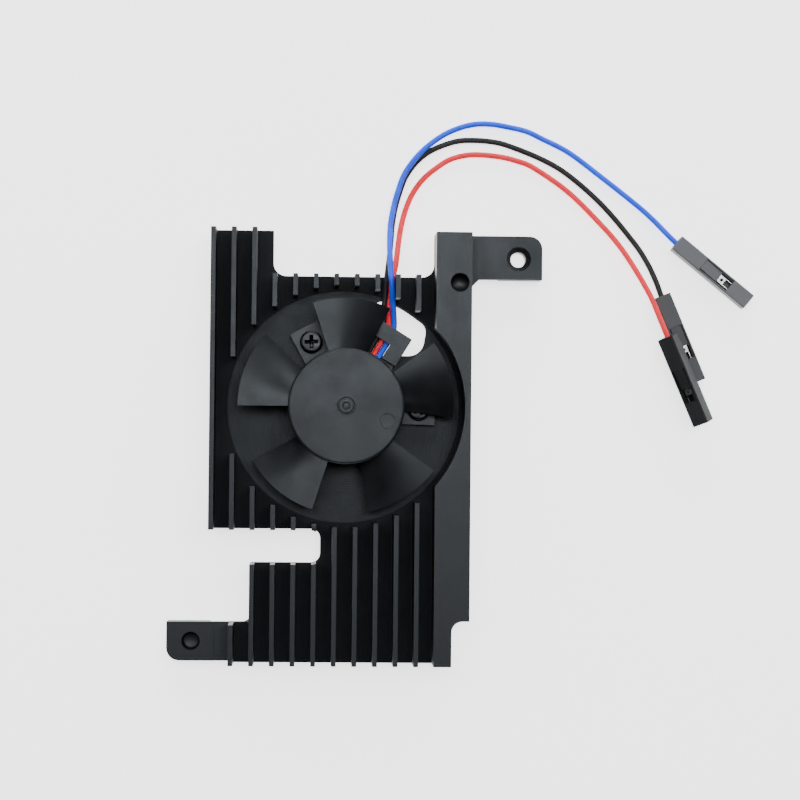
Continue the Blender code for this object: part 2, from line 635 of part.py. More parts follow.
def build_stator(axis):
    core_mesh = mesh_from("stator_core", prism(stator_outline(), STATOR_BOTTOM, STATOR_TOP))
    core = place("stator_core", core_mesh, BRIGHT_STEEL, axis)
    bore = turned(cylinder_profile(BOSS_RADIUS + 0.3, BELOW_ALL, ABOVE_ALL))
    combine(core, "stator_bore", bore, "DIFFERENCE")
    for pole in range(4):
        turn = Matrix.Rotation(math.radians(45 + 90 * pole), 4, "Z")
        winding = box((COIL_INNER, -COIL_HALF_WIDTH, COIL_BOTTOM), (COIL_OUTER, COIL_HALF_WIDTH, COIL_TOP))
        coil = place(f"stator_coil_{pole + 1}", mesh_from("stator_coil", winding), COPPER, axis, turn=turn)
        opening = box((COIL_INNER - 1, -COIL_WINDOW_HALF_WIDTH, COIL_WINDOW_BOTTOM),
                      (COIL_OUTER + 1, COIL_WINDOW_HALF_WIDTH, COIL_WINDOW_TOP))
        combine(coil, f"coil_window_{pole + 1}", opening, "DIFFERENCE", turn=turn)
        bevel = coil.modifiers.new("round_corners", "BEVEL")
        bevel.width = 0.35 * MM
        bevel.segments = 2
        bevel.limit_method = "ANGLE"


def build_bearing(axis):
    running_gap = 0.12
    sleeve = tube_profile(SHAFT_RADIUS + running_gap, BOSS_BORE - 0.15, SLEEVE_BOTTOM, SLEEVE_TOP)
    place("bearing_sleeve", mesh_from("bearing_sleeve", turned(sleeve, 32)), BRONZE, axis)
    washer = cylinder_profile(BOSS_BORE - 0.3, BASE_BOTTOM, BASE_BOTTOM + 0.25)
    place("thrust_washer", mesh_from("thrust_washer", turned(washer, 32)), WHITE_NYLON, axis)


def add_blade(bm, high_edge):
    """One pitched blade: it rises in a shallow arc from its low edge to its high edge."""
    chord_steps, radial_steps = 8, 4
    root_radius = HUB_RADIUS - BLADE_ROOT_DEPTH
    sheets = []
    for drop in (0, BLADE_THICKNESS):
        rows = []
        for chord in range(chord_steps + 1):
            share = chord / chord_steps
            rise = share + BLADE_CAMBER * math.sin(math.pi * share)
            height = BLADE_LOW + (BLADE_HIGH - BLADE_LOW) * rise - drop
            row = []
            for radial in range(radial_steps + 1):
                out = radial / radial_steps
                radius = root_radius + (BLADE_RADIUS - root_radius) * out
                span = BLADE_SPAN - BLADE_ROOT_SWEEP * (1 - out)
                row.append(bm.verts.new((*polar(radius, high_edge - span * (1 - share)), height)))
            rows.append(row)
        sheets.append(rows)
    top, bottom = sheets
    for rows in sheets:
        for row, following in zip(rows, rows[1:]):
            for radial in range(radial_steps):
                bm.faces.new((row[radial], row[radial + 1], following[radial + 1], following[radial]))
    for upper, lower in ((top[0], bottom[0]), (top[-1], bottom[-1])):
        for radial in range(radial_steps):
            bm.faces.new((upper[radial], upper[radial + 1], lower[radial + 1], lower[radial]))
    for radial in (0, -1):
        for chord in range(chord_steps):
            upper = (top[chord][radial], top[chord + 1][radial])
            bm.faces.new((*upper, bottom[chord + 1][radial], bottom[chord][radial]))


def build_impeller(axis):
    under_roof = HUB_TOP - HUB_ROOF
    inner = HUB_RADIUS - HUB_WALL
    socket_radius = 1.4
    socket_low = 8.5
    bore = SHAFT_RADIUS + 0.1
    bore_end = SHAFT_TOP + 0.2
    profile = (
        (0, HUB_TOP + 0.04), (0.38, HUB_TOP + 0.04), (0.44, HUB_TOP + 0.12), (1.0, HUB_TOP + 0.12),
        (1.06, HUB_TOP - 0.06), (1.26, HUB_TOP - 0.06), (1.32, HUB_TOP),
        (HUB_RADIUS - 0.34, HUB_TOP), (HUB_RADIUS - 0.1, HUB_TOP - 0.1), (HUB_RADIUS, HUB_TOP - 0.34),
        (HUB_RADIUS, HUB_BOTTOM), (inner, HUB_BOTTOM), (inner, under_roof), (socket_radius, under_roof),
        (socket_radius, socket_low), (bore, socket_low), (bore, bore_end), (0, bore_end),
    )
    hub = place("impeller", mesh_from("impeller", turned(profile, 72)), BLACK_PLASTIC, axis)
    blades = bmesh.new()
    for number in range(BLADE_COUNT):
        add_blade(blades, FIRST_BLADE_EDGE + 360 / BLADE_COUNT * number)
    combine(hub, "blades", blades, "UNION")
    gate_reach, gate_direction = 6.5, -20
    gate = (*polar(gate_reach, gate_direction), 0)
    gate_ring = turned(tube_profile(0.98, 1.22, HUB_TOP - 0.12, ABOVE_ALL), 24)
    combine(hub, "moulding_gate", gate_ring, "DIFFERENCE", gate)


def build_rotor_metal(axis):
    yoke = tube_profile(YOKE_RADIUS - YOKE_WALL, YOKE_RADIUS, YOKE_BOTTOM, YOKE_TOP)
    place("rotor_yoke", mesh_from("rotor_yoke", turned(yoke, 72)), BRIGHT_STEEL, axis)
    magnet = tube_profile(MAGNET_RADIUS - MAGNET_WALL, MAGNET_RADIUS, MAGNET_BOTTOM, MAGNET_TOP)
    place("rotor_magnet", mesh_from("rotor_magnet", turned(magnet, 72)), FERRITE, axis)
    shaft = cylinder_profile(SHAFT_RADIUS, SHAFT_BOTTOM, SHAFT_TOP)
    place("fan_shaft", mesh_from("fan_shaft", turned(shaft, 24)), BRIGHT_STEEL, axis)
    clip = tube_profile(SHAFT_RADIUS + 0.1, CLIP_RADIUS, SHAFT_BOTTOM + 0.15, SHAFT_BOTTOM + 0.35)
    place("shaft_retaining_clip", mesh_from("shaft_retaining_clip", turned(clip, 24)), WHITE_NYLON, axis)


def smooth_route(points, spacing):
    """Evenly spaced points on the Catmull-Rom curve through the given ones, both ends included."""
    route = [Vector(point) for point in points]
    route = [2 * route[0] - route[1], *route, 2 * route[-1] - route[-2]]
    fine = []
    for before, start, end, after in zip(route, route[1:], route[2:], route[3:]):
        for step in range(12):
            t = step / 12
            fine.append(0.5 * (2 * start + (end - before) * t
                               + (2 * before - 5 * start + 4 * end - after) * t ** 2
                               + (3 * start - before - 3 * end + after) * t ** 3))
    fine.append(route[-2])
    lengths = [0.0]
    for start, end in zip(fine, fine[1:]):
        lengths.append(lengths[-1] + (end - start).length)
    count = round(lengths[-1] / spacing)
    even = [fine[0]]
    index = 0
    for number in range(1, count):
        wanted = lengths[-1] * number / count
        while lengths[index + 1] < wanted:
            index += 1
        share = (wanted - lengths[index]) / (lengths[index + 1] - lengths[index])
        even.append(fine[index].lerp(fine[index + 1], share))
    return [*even, fine[-1]]


def build_wires():
    for name, points in WIRE_ROUTES.items():
        lane = WIRE_LANES[name]
        leaving = [(*(FAN_CENTRE + on_arm(ARM_ANGLE, along, lane)), height) for along, height in LANE_STEPS]
        route = smooth_route((*leaving, *points), WIRE_POINT_SPACING)
        curve = bpy.data.curves.new(name, "CURVE")
        curve.dimensions = "3D"
        curve.bevel_depth = WIRE_RADIUS * MM
        curve.bevel_resolution = 2
        curve.use_fill_caps = True
        spline = curve.splines.new("POLY")
        spline.points.add(len(route) - 1)
        for spline_point, place_on_route in zip(spline.points, route):
            spline_point.co = (*(place_on_route * MM), 1)
        place(name, curve, WIRE_COLOURS[name])


def connector_turn(heading, pitch, roll):
    """Points local +X along the heading, nose down by the pitch, then rolls it about its own axis."""
    return (Matrix.Rotation(math.radians(heading), 4, "Z") @ Matrix.Rotation(math.radians(pitch), 4, "Y")
            @ Matrix.Rotation(math.radians(roll), 4, "X"))


def connector_shell():
    half = CONNECTOR_SIDE / 2
    corners = [(x, y, CONNECTOR_CHAMFER) for x, y in rectangle(-half, -half, half, half)]
    outline = rounded_outline(corners, 1)
    bm = prism(outline, 0, CONNECTOR_LENGTH)
    bmesh.ops.rotate(bm, matrix=Matrix.Rotation(math.radians(90), 3, "Y"), verts=bm.verts)
    return bm


def build_connectors():
    half = CONNECTOR_SIDE / 2
    bore = CONNECTOR_BORE / 2
    for name, (rear, heading, pitch, roll) in CONNECTORS.items():
        turn = connector_turn(heading, pitch, roll)
        finish = GREY_PLASTIC if "grey" in name else BLACK_PLASTIC
        shell = place(name, mesh_from(name, connector_shell()), finish, location=rear, turn=turn)
        channel = box((-1, -bore, -bore), (CONNECTOR_LENGTH + 1, bore, bore))
        combine(shell, f"{name}_bore", channel, "DIFFERENCE", rear, turn)
        across = WINDOW_WIDTH / 2
        window = box((WINDOW_START, -across, bore - 0.15), (WINDOW_END, across, half + 1))
        combine(shell, f"{name}_window", window, "DIFFERENCE", rear, turn)
        combine(shell, f"{name}_tongue", latch_tongue(half - 0.06), "UNION", rear, turn)
        contact = mesh_from(f"{name}_contact", contact_shape())
        place(name.replace("connector", "contact"), contact, TINNED_METAL, location=rear, turn=turn)


def latch_tongue(top):
    """The sprung tongue in the window, sloping down to the contact that it holds."""
    bm = bmesh.new()
    root, end, half = WINDOW_START - 0.5, TONGUE_END, TONGUE_HALF_WIDTH
    rings = []
    for along, high in ((root, top), (end, top - TONGUE_DROP)):
        section = rectangle(-half, high - TONGUE_THICKNESS, half, high)
        rings.append([bm.verts.new((along, y, z)) for y, z in section])
    for step in range(4):
        after = (step + 1) % 4
        bm.faces.new((rings[0][step], rings[0][after], rings[1][after], rings[1][step]))
    bm.faces.new(rings[0])
    bm.faces.new(rings[1])
    return bm


def contact_shape():
    """A crimp contact: a narrow barrel round the wire, widening to the socket box."""
    bm = bmesh.new()
    rings = []
    for along, half in CONTACT_STATIONS:
        rings.append([bm.verts.new((along, y, z)) for y, z in rectangle(-half, -half, half, half)])
    for first, second in zip(rings, rings[1:]):
        for step in range(4):
            after = (step + 1) % 4
            bm.faces.new((first[step], first[after], second[after], second[step]))
    bm.faces.new(rings[0])
    bm.faces.new(rings[-1])
    return bm


def build_fan():
    axis = bpy.data.objects.new("fan_axis", None)
    bpy.context.scene.collection.objects.link(axis)
    axis.location = (*(FAN_CENTRE * MM), 0)
    build_fan_base(axis)
    build_screws(axis)
    build_circuit_board(axis)
    build_stator(axis)
    build_bearing(axis)
    build_impeller(axis)
    build_rotor_metal(axis)


clear_scene()
build_heatsink()
build_thermal_pads()
build_fan()
build_wires()
build_connectors()
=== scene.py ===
import json
import math

import bmesh
import bpy
from mathutils import Matrix, Vector


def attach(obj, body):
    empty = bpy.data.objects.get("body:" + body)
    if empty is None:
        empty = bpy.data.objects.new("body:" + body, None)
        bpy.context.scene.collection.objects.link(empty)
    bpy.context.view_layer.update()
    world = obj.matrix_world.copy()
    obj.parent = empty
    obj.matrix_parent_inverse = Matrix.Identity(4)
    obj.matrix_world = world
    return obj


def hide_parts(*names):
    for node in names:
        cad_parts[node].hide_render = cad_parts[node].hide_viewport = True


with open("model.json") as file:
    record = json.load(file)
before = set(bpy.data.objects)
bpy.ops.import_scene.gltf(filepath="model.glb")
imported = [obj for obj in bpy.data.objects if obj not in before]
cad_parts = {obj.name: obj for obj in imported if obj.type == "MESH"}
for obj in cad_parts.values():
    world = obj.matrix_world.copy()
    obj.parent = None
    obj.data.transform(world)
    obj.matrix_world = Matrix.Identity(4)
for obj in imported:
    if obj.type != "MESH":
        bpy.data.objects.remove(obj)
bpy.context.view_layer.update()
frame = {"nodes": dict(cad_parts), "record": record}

MM = 0.001
NODES = frame["nodes"]

# The same driving dimensions as the CAD model. All lengths in this script are in millimetres
# and all angles in degrees, unless a name or comment says otherwise.
PLATE_TOP = 3.6
FAN_CENTRE = Vector((-1.5, 6.05, 0.0))
POCKET_CENTRE = Vector((-1.83, 6.05, 0.0))
POCKET_RADIUS = 17.5
HUB_RADIUS = 8.64
HUB_TOP = 10.0
HUB_BOTTOM = 5.6
HUB_WALL = 0.6
HUB_ROOF_UNDERSIDE = 9.2
BOSS_RADIUS = 1.4
BOSS_BOTTOM = 8.5
SHAFT_HOLE_RADIUS = 0.6
SHAFT_HOLE_TOP = 9.7
GATE_MARK_RADIUS = 6.5
GATE_MARK_ANGLE = -20
BLADE_COUNT = 5
BLADE_RADIUS = 16.1
BLADE_SPAN = 42.0
BLADE_ROOT_SWEEP = 2.0
BLADE_ROOT_DEPTH = 0.3
FIRST_BLADE_EDGE = 36.2
BLADE_LOW = 6.6
BLADE_HIGH = 9.4
BLADE_THICKNESS = 0.6
BLADE_CAMBER = 0.28
BLADE_TAPER = 0.25
ARM_ANGLE = 58.5

# Each screw's place round the fan, and how far its cross is turned.
LUG_RADIUS = 11.0
SCREW_TURNS = ((-1.5, 35), (118.5, 2), (238.5, 20))
SCREW_TIP = 2.4
SCREW_TIP_TAPER = 0.25
SCREW_SEAT = 4.7
SCREW_TOP = 5.55
SCREW_HEAD_RADIUS = 1.7
SCREW_CREST = 0.8
SCREW_ROOT = 0.66
SCREW_PITCH = 0.24
CROSS_DEPTH = 0.42

# The wires are drawn 0.014 thicker in radius than the CAD model's, so that no floor shows between them.
WIRE_RADIUS = 0.434
WIRE_SPACING = 0.7
# How far each wire lies across the cable arm, and the (along, height) steps all three take out of it.
WIRE_LANES = {"wire_blue": 0.25, "wire_red": -0.62, "wire_black": -1.49}
LANE_STEPS = ((7.7, 4.9), (9.3, 4.55), (11.2, 4.45), (13.0, 4.45))
# Where each wire goes after the arm, up to its connector.
WIRE_ROUTES = {
    "wire_blue": (
        (5.68, 18.4, 4.6), (5.6, 19.9, 5.1), (5.45, 21.5, 5.75), (5.3, 23.2, 6.4), (5.15, 25.2, 6.7),
        (5.0, 27.4, 6.2), (4.92, 29.2, 5.4), (4.9, 31.2, 4.3), (5.05, 33.8, 3.0), (5.5, 36.4, 2.0),
        (6.1, 38.7, 1.5), (7.1, 41.5, 1.35), (8.7, 43.9, 1.2), (10.5, 45.8, 0.85), (13.0, 47.7, 0.5),
        (15.6, 48.9, 0.45), (18.1, 49.5, 0.45), (20.6, 49.5, 0.45), (23.1, 49.1, 0.45), (25.8, 48.5, 0.45),
        (28.2, 47.4, 0.45), (32.4, 45.3, 0.45), (37.7, 41.4, 0.45), (43.1, 37.2, 0.5), (45.6, 34.9, 0.85),
        (47.4, 33.0, 1.2), (48.87, 31.59, 1.27), (50.26, 30.46, 1.27),
    ),
    "wire_black": (
        (4.02, 19.2, 4.25), (4.12, 20.6, 4.08), (4.25, 22.2, 4.08), (4.35, 24.0, 4.1), (4.65, 26.4, 3.9),
        (4.95, 29.0, 3.2), (5.15, 31.2, 2.2), (5.35, 33.7, 1.3), (5.79, 36.3, 0.7), (6.4, 38.6, 0.47),
        (7.39, 41.3, 0.45), (9.04, 43.6, 0.45), (11.0, 45.2, 0.45), (13.4, 46.3, 0.45), (15.6, 46.9, 0.45),
        (18.1, 47.0, 0.45), (20.7, 46.8, 0.45), (23.2, 46.2, 0.45), (28.3, 44.2, 0.45), (32.4, 41.8, 0.45),
        (37.7, 37.2, 0.45), (42.5, 31.6, 0.5), (44.5, 28.5, 0.85), (45.75, 25.8, 1.2), (46.62, 23.48, 1.27),
        (47.4, 21.64, 1.27),
    ),
    "wire_red": (
        (4.83, 18.7, 4.52), (4.86, 20.0, 4.7), (4.98, 21.5, 4.88), (5.15, 23.0, 4.98), (5.22, 24.4, 5.05),
        (5.5, 26.0, 5.05), (5.82, 27.4, 4.65), (6.03, 28.9, 3.9), (6.32, 31.2, 2.9), (6.78, 33.9, 1.8),
        (7.5, 36.5, 1.0), (8.5, 38.8, 0.55), (10.0, 40.9, 0.45), (11.8, 42.5, 0.45), (14.1, 44.0, 0.45),
        (16.6, 44.7, 0.45), (18.9, 44.8, 0.45), (22.0, 44.5, 0.45), (24.5, 43.9, 0.45), (27.0, 42.9, 0.45),
        (32.4, 39.2, 0.45), (37.7, 34.0, 0.55), (40.34, 30.83, 1.1), (42.27, 27.8, 1.9), (43.6, 25.36, 2.8),
        (44.84, 22.89, 3.5), (45.87, 20.3, 3.92), (46.72, 18.25, 3.95), (47.21, 17.12, 3.92),
        (47.88, 15.56, 3.88),
    ),
}
# The middle of each connector's rear end, then its heading, pitch and roll.
CONNECTORS = {
    "connector_grey": ((48.87, 31.59, 1.27), -39.0, 0.0, 0.0),
    "connector_black_flat": ((46.62, 23.48, 1.27), -67.1, 0.0, 0.0),
    "connector_black_leaning": ((47.21, 17.12, 3.92), -66.73, 1.39, 32.81),
}
# Stations (along, half outside, half inside) of a crimp contact, and the boxes cut out of it.
CONTACT_STATIONS = ((2.6, 0.42, 0.3), (5.5, 0.42, 0.3), (6.3, 0.58, 0.44), (13.6, 0.6, 0.46))
CONTACT_CUTS = (
    ("seam", (2.5, -0.04, 0.2), (5.6, 0.04, 1.0)),
    ("spring_slot", (9.4, -0.47, -1.0), (10.7, 0.47, 1.0)),
    ("latch_window", (8.72, -0.2, -1.0), (9.1, 0.2, 1.0)),
    ("side_slot", (11.2, -1.0, -0.12), (13.2, 1.0, 0.12)),
)

# Each stator coil is two layers of turns, given by their half widths and half heights.
COIL_POLES = 4
FIRST_COIL_ANGLE = 45
COIL_LAYERS = ((1.02, 1.22), (1.22, 1.42))
COIL_TURNS = 6
COIL_TURN_STEPS = 24
COIL_START = 3.86
COIL_LENGTH = 0.84
COIL_HEIGHT = 7.4
COIL_WIRE_RADIUS = 0.085
COIL_SQUARENESS = 5

BAR_HOLE_CENTRE = (15.25, 24.6, 0)
THREAD_LOW = 7.9
THREAD_PITCH = 0.4
THREAD_TURNS = 4
THREAD_TURN_STEPS = 36
THREAD_OUTER = 1.44
THREAD_INNER = 1.26
THREAD_HALF_WIDTH = 0.2

SOLDER_ALONG = 6.6
SOLDER_DOME = ((0, 5.12, 0), (0.42, 5.12, 0.02), (0.3, 5.3, 0.1), (0, 5.36, 0))


# ---------------------------------------------------------------- camera, floor and light

CAMERA_LENS = 100.49
CAMERA_PLACE = (-6.507, 1.096, 340.551)
CAMERA_TILT = ((1.0271, "X"), (-2.2451, "Y"), (0.5597, "Z"))
# The world is bright at the horizon and fades out between two heights (as the sine of the elevation).
WALL_LIGHT = 0.8
CEILING_LIGHT = 0.02
FADE_START = 0.05
FADE_END = 0.35
FLOOR_GLOW = 2.2
FLOOR_DROP = 0.1
FLOOR_HALF_SIZE_M = 3.0
# Each panel's place and size in metres and its power in watts; all of them face the origin.
SOFTBOXES = (
    ("back_softbox", (0.05, 0.7, 0.30), (0.6, 0.25), 5.0),
    ("front_softbox", (0.0, -0.8, 0.12), (0.6, 0.2), 2.0),
    ("left_softbox", (-0.62, 0.1, 0.30), (0.25, 0.6), 1.0),
    ("right_softbox", (0.62, 0.15, 0.30), (0.25, 0.6), 1.0),
    ("overhead_panel", (0.03, 0.13, 0.75), (0.35, 0.2), 2.6),
    ("left_panel", (-0.27, 0.2, 0.70), (0.12, 0.36), 1.3),
    ("right_panel", (0.27, 0.22, 0.70), (0.12, 0.36), 1.3),
)


def turned(*turns):
    """The rotation made of (degrees, axis) turns, the last of them applied first."""
    whole = Matrix.Identity(4)
    for degrees, axis in turns:
        whole = whole @ Matrix.Rotation(math.radians(degrees), 4, axis)
    return whole


def make_camera():
    data = bpy.data.cameras.new("camera")
    data.sensor_width = 36.0
    data.lens = CAMERA_LENS
    data.clip_start = 0.01
    camera = bpy.data.objects.new("camera", data)
    bpy.context.scene.collection.objects.link(camera)
    camera.matrix_world = Matrix.Translation(Vector(CAMERA_PLACE) * MM) @ turned(*CAMERA_TILT)
    bpy.context.scene.camera = camera


def make_panel(name, location, size, power):
    data = bpy.data.lights.new(name, "AREA")
    data.shape = "RECTANGLE"
    data.size, data.size_y = size
    data.energy = power
    light = bpy.data.objects.new(name, data)
    bpy.context.scene.collection.objects.link(light)
    light.location = location
    light.rotation_euler = (-Vector(location)).to_track_quat("-Z", "Y").to_euler()


def make_world():
    world = bpy.data.worlds.new("studio")
    world.use_nodes = True
    tree = world.node_tree
    background = tree.nodes["Background"]
    direction = tree.nodes.new("ShaderNodeTexCoord")
    split = tree.nodes.new("ShaderNodeSeparateXYZ")
    fade = tree.nodes.new("ShaderNodeMapRange")
    tree.links.new(direction.outputs["Generated"], split.inputs[0])
    tree.links.new(split.outputs["Z"], fade.inputs["Value"])
    fade.inputs["From Min"].default_value = FADE_START
    fade.inputs["From Max"].default_value = FADE_END
    fade.inputs["To Min"].default_value = WALL_LIGHT
    fade.inputs["To Max"].default_value = CEILING_LIGHT
    tree.links.new(fade.outputs["Result"], background.inputs["Strength"])
    background.inputs["Color"].default_value = (0.95, 0.97, 1.0, 1.0)
    bpy.context.scene.world = world


def make_floor():
    bm = bmesh.new()
    bmesh.ops.create_grid(bm, x_segments=8, y_segments=8, size=FLOOR_HALF_SIZE_M)
    mesh = bpy.data.meshes.new("floor")
    bm.to_mesh(mesh)
    bm.free()
    floor = bpy.data.objects.new("floor", mesh)
    floor.location.z = -FLOOR_DROP * MM
    bpy.context.scene.collection.objects.link(floor)
    shader = Shader("floor_paper", (0.93, 0.93, 0.94), 0.9)
    shader.grain(900, 0.02)
    shader.inputs["Emission Color"].default_value = (0.99, 0.99, 1.0, 1)
    shader.inputs["Emission Strength"].default_value = FLOOR_GLOW
    mesh.materials.append(shader.material)


# ---------------------------------------------------------------- materials

class Shader:
    """A Principled material whose colour, roughness and bump are built up from object-space textures."""

    def __init__(self, name, colour, roughness, metallic=0.0, **fixed):
        self.material = bpy.data.materials.new(name)
        self.material.use_nodes = True
        self.tree = self.material.node_tree
        self.inputs = self.tree.nodes["Principled BSDF"].inputs
        self.inputs["Base Color"].default_value = (*colour, 1)
        self.inputs["Roughness"].default_value = roughness
        self.inputs["Metallic"].default_value = metallic
        for socket, value in fixed.items():
            self.inputs[socket.replace("_", " ")].default_value = value
        self.colour = colour
        self.roughness = roughness
        self.place = self.node("ShaderNodeTexCoord").outputs["Object"]
        self.height = None

    def node(self, kind, **settings):
        made = self.tree.nodes.new(kind)
        for key, value in settings.items():
            setattr(made, key, value)
        return made

    def link(self, source, target):
        self.tree.links.new(source, target)

    def math(self, operation, first, second=0.0):
        made = self.node("ShaderNodeMath", operation=operation)
        for socket, value in zip(made.inputs, (first, second)):
            if isinstance(value, bpy.types.NodeSocket):
                self.link(value, socket)
            else:
                socket.default_value = value
        return made.outputs[0]

    def scaled(self, stretch):
        made = self.node("ShaderNodeMapping")
        made.inputs["Scale"].default_value = stretch
        self.link(self.place, made.inputs["Vector"])
        return made.outputs[0]

    def noise(self, scale, detail=3.0, stretch=None):
        made = self.node("ShaderNodeTexNoise")
        made.inputs["Scale"].default_value = scale
        made.inputs["Detail"].default_value = detail
        self.link(self.scaled(stretch) if stretch else self.place, made.inputs["Vector"])
        return made.outputs["Fac"]

    def ramp(self, value, low, high, low_out=0.0, high_out=1.0):
        made = self.node("ShaderNodeMapRange")
        self.link(value, made.inputs["Value"])
        made.inputs["From Min"].default_value = low
        made.inputs["From Max"].default_value = high
        made.inputs["To Min"].default_value = low_out
        made.inputs["To Max"].default_value = high_out
        return made.outputs["Result"]

    def bump(self, value, depth_mm, strength=1.0):
        """Adds a height field, as a depth in millimetres, on top of those already there."""
        made = self.node("ShaderNodeBump")
        made.inputs["Strength"].default_value = strength
        made.inputs["Distance"].default_value = depth_mm * MM
        self.link(value, made.inputs["Height"])
        if self.height is not None:
            self.link(self.height, made.inputs["Normal"])
        self.height = made.outputs["Normal"]
        self.link(self.height, self.inputs["Normal"])

    def grain(self, scale, depth_mm, detail=3.0, stretch=None):
        self.bump(self.noise(scale, detail, stretch), depth_mm)

    def vary_roughness(self, value, spread):
        low, high = max(self.roughness - spread, 0.02), min(self.roughness + spread, 1.0)
        self.link(self.ramp(value, 0.3, 0.7, low, high), self.inputs["Roughness"])

    def vary_colour(self, value, other, low=0.35, high=0.65):
        """Blends from this material's colour to another as the value goes from low to high."""
        made = self.node("ShaderNodeMix", data_type="RGBA")
        self.link(self.ramp(value, low, high), made.inputs["Factor"])
        colour_a, colour_b, blended = made.inputs[6], made.inputs[7], made.outputs[2]
        colour_a.default_value = (*self.colour, 1)
        colour_b.default_value = (*other, 1)
        self.link(blended, self.inputs["Base Color"])

    def split(self):
        made = self.node("ShaderNodeSeparateXYZ")
        self.link(self.place, made.inputs[0])
        return made.outputs

    def distance_from(self, centre_mm):
        """Distance in metres from a vertical axis."""
        x, y, _ = self.split()
        across = self.math("SUBTRACT", x, centre_mm[0] * MM)
        along = self.math("SUBTRACT", y, centre_mm[1] * MM)
        across_squared = self.math("MULTIPLY", across, across)
        along_squared = self.math("MULTIPLY", along, along)
        return self.math("SQRT", self.math("ADD", across_squared, along_squared))

    def rings(self, centre_mm, pitch_mm):
        """A wave from -1 to 1 in circles round a vertical axis, as turning leaves."""
        wave = self.math("MULTIPLY", self.distance_from(centre_mm), 2 * math.pi / (pitch_mm * MM))
        return self.math("SINE", wave)


# Dark finishes reflect a little bluer than white.
COOL = (0.84, 0.92, 1.0, 1.0)
DARK_GLOSS = 0.33

# Where the heatsink's finish changes: the pocket floor, the channels' floors and walls, and the two tabs.
POCKET_FLOOR_BELOW = 3.3
CHANNEL_FLOOR = PLATE_TOP + 0.02
CHANNEL_WALL_TOP = 4.4
UPPER_TAB_FROM_X = 17.1
LOWER_TAB_TO_X = -18.7
LOWER_TAB_TO_Y = -26.45


def anodised():
    """Black anodised aluminium: fine blasted grain, faint milling lines and slightly paler marks."""
    s = Shader("anodised_aluminium", (0.0026, 0.0028, 0.0034), 0.45,
               Specular_IOR_Level=DARK_GLOSS, Specular_Tint=COOL)
    cloud = s.noise(220, 4.0)
    s.vary_colour(cloud, (0.0037, 0.0040, 0.0047))
    lines = s.noise(300, 3.0, (18.0, 1.0, 1.0))
    x, y, height = s.split()

    # Deep channels have a rough etched skin; the turned pocket floor, the tops and the tabs are smoother.
    marks = s.math("ADD", s.math("MULTIPLY", cloud, 0.6), s.math("MULTIPLY", lines, 0.4))
    uneven = s.ramp(marks, 0.3, 0.7, -0.07, 0.07)
    rough_below = s.ramp(height, CHANNEL_FLOOR * MM, CHANNEL_WALL_TOP * MM, 0.82, 0.42)
    low_floor = s.math("LESS_THAN", height, POCKET_FLOOR_BELOW * MM)
    skin = s.math("SUBTRACT", rough_below, s.math("MULTIPLY", low_floor, 0.27))
    upper_tab = s.math("GREATER_THAN", x, UPPER_TAB_FROM_X * MM)
    left_of_fins = s.math("LESS_THAN", x, LOWER_TAB_TO_X * MM)
    below_fins = s.math("LESS_THAN", y, LOWER_TAB_TO_Y * MM)
    on_tabs = s.math("MAXIMUM", upper_tab, s.math("MINIMUM", left_of_fins, below_fins))
    tab_limit = s.math("SUBTRACT", 1.0, s.math("MULTIPLY", on_tabs, 0.55))
    s.link(s.math("ADD", uneven, s.math("MINIMUM", skin, tab_limit)), s.inputs["Roughness"])

    s.grain(7000, 0.006, 2.0)
    s.bump(lines, 0.004, 0.6)
    in_pocket = s.math("LESS_THAN", s.distance_from(POCKET_CENTRE), POCKET_RADIUS * MM)
    swirl = s.math("MULTIPLY", s.rings(POCKET_CENTRE, 0.35), s.math("MULTIPLY", low_floor, in_pocket))
    s.bump(swirl, 0.006, 0.7)
    return s.material


def moulded(name, colour, pale, roughness, grain_mm=0.007, gloss=DARK_GLOSS):
    """Injection moulded plastic with a spark-eroded skin."""
    s = Shader(name, colour, roughness, Specular_IOR_Level=gloss, Specular_Tint=COOL)
    cloud = s.noise(260, 3.0)
    s.vary_colour(cloud, pale)
    s.vary_roughness(cloud, 0.06)
    s.grain(5200, grain_mm, 2.5)
    return s.material


def insulation(name, colour, pale):
    """Soft extruded sleeve: slightly glossy and faintly uneven."""
    s = Shader(name, colour, 0.45, Specular_IOR_Level=0.14)
    s.vary_colour(s.noise(400, 3.0), pale)
    s.vary_roughness(s.noise(900, 3.0), 0.08)
    s.grain(2600, 0.006)
    return s.material


def metal(name, colour, other, roughness, stretch=None, grain_mm=0.003):
    """Bare metal of two mixed tones, with streaks that may be stretched along one direction."""
    s = Shader(name, colour, roughness, 1.0)
    s.vary_colour(s.noise(500, 4.0), other)
    streaks = s.noise(1500, 3.0, stretch)
    s.vary_roughness(streaks, 0.1)
    s.bump(streaks, grain_mm)
    return s.material


def laminate():
    """Lacquered circuit board: darker seams between raised, paler green areas."""
    s = Shader("circuit_board_lacquer", (0.01, 0.09, 0.035), 0.35, Coat_Weight=0.4, Coat_Roughness=0.15)
    made = s.node("ShaderNodeTexVoronoi", feature="DISTANCE_TO_EDGE")
    made.inputs["Scale"].default_value = 700
    s.link(s.place, made.inputs["Vector"])
    s.vary_colour(made.outputs["Distance"], (0.03, 0.2, 0.08), 0.05, 0.08)
    s.bump(s.ramp(made.outputs["Distance"], 0.04, 0.1), 0.03, 0.5)
    s.vary_roughness(s.noise(1500), 0.08)
    return s.material


